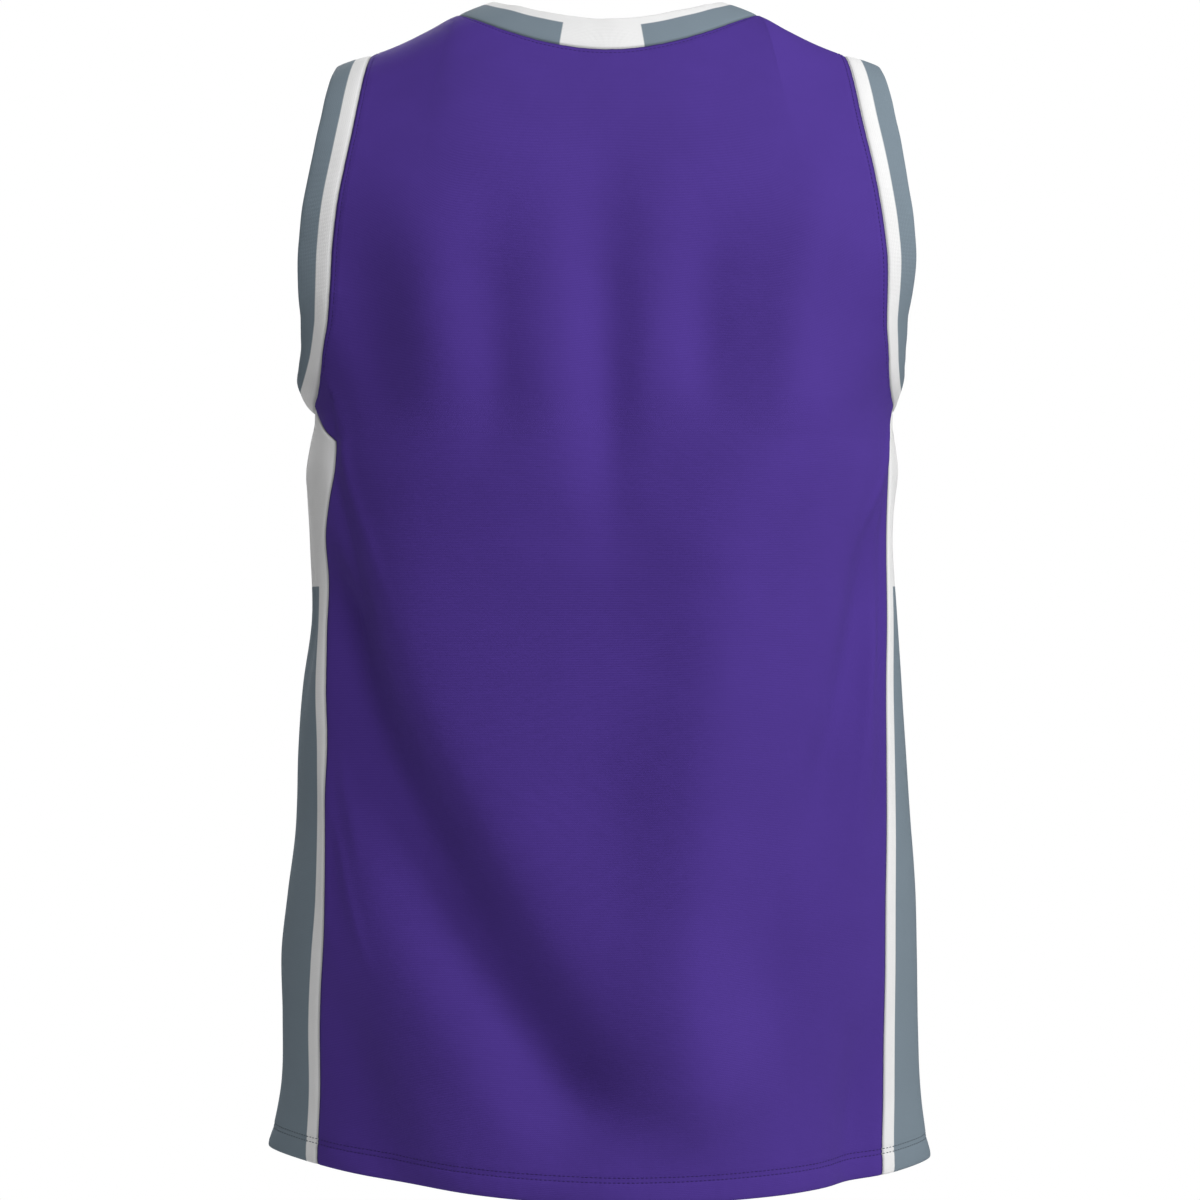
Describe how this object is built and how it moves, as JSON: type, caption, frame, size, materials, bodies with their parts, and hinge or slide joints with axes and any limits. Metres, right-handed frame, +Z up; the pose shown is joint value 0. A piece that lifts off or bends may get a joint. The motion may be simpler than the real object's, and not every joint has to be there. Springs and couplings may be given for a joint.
{
  "type": "sleeveless basketball jersey",
  "caption": "Sleeveless knit sports shirt, hollow as worn: contrast side panels, rib round the scoop neck, a rib band at each armhole and a turned-up hem.",
  "frame": {"origin": "midway between the two shoulder straps, at the height where they cross a wearer's shoulders", "axes": "+Z up, -Y the front, +X the wearer's left"},
  "size_m": [0.4459, 0.2731, 0.7862],
  "materials": {
    "body_knit": "fine purple knit, slight sheen",
    "side_knit": "white knit with a slate grey block",
    "neck_knit": "white rib knit with slate grey sides",
    "armhole_knit": "rib knit, white inner stripe and slate grey edge"
  },
  "bodies": {
    "root": {"back_panel": "body_knit", "front_panel": "body_knit", "side_panel_left": "side_knit", "side_panel_right": "side_knit", "neck_rib": "neck_knit", "armhole_band_left": "armhole_knit", "armhole_band_right": "armhole_knit"}
  },
  "joints": []
}
